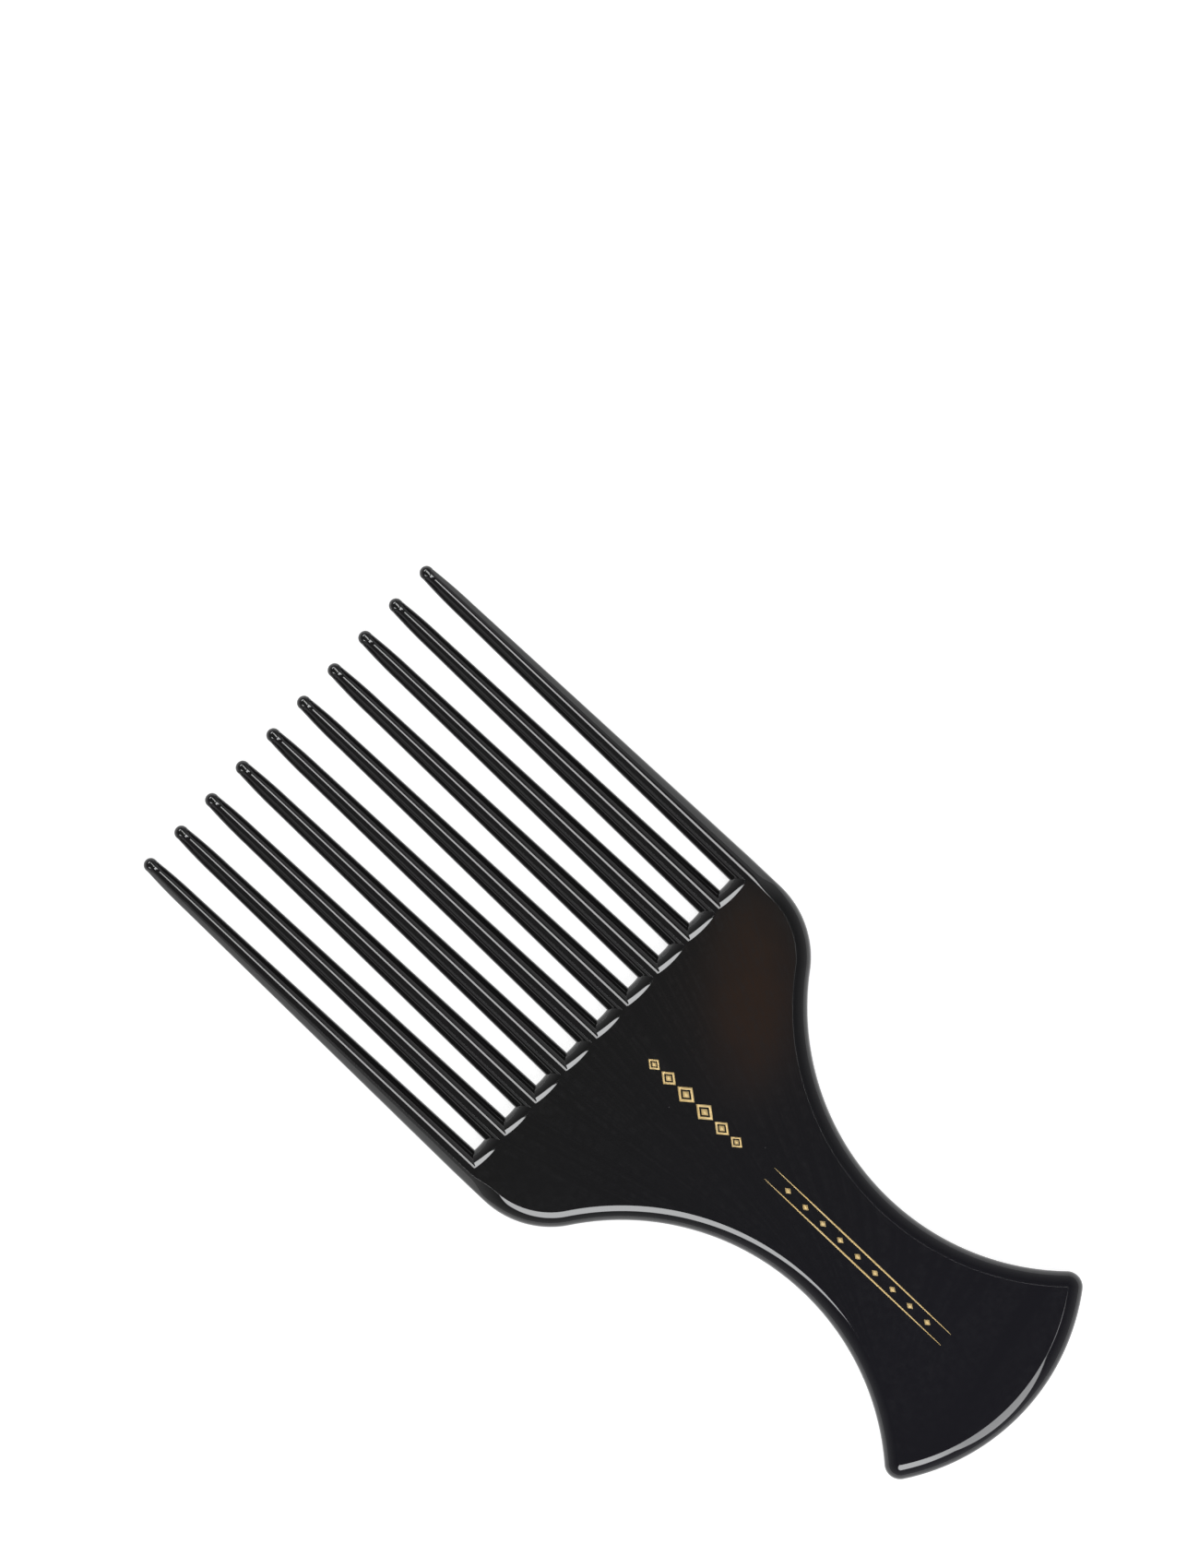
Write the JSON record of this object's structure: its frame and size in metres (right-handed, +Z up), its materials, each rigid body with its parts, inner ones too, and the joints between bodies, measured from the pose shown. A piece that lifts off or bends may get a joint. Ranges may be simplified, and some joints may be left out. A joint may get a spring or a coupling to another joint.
{
  "type": "afro pick",
  "caption": "Flat moulded hair pick with long tapered, ridged teeth that end in small balls, and a waisted handle with a fishtail end, for lifting and combing out curly hair.",
  "frame": {"origin": "on the plane of the lower face, below the middle of the whole length and width", "axes": "+X from the handle's end to the tooth tips, +Y across the teeth, +Z up out of the upper face"},
  "size_m": [0.165, 0.0702, 0.005],
  "materials": {
    "black_plastic": "gloss",
    "gold_foil": "stamped foil"
  },
  "bodies": {
    "root": {"handle": "black_plastic", "tooth_01": "black_plastic", "tooth_02": "black_plastic", "tooth_03": "black_plastic", "tooth_04": "black_plastic", "tooth_05": "black_plastic", "tooth_06": "black_plastic", "tooth_07": "black_plastic", "tooth_08": "black_plastic", "tooth_09": "black_plastic", "tooth_10": "black_plastic"}
  },
  "joints": []
}
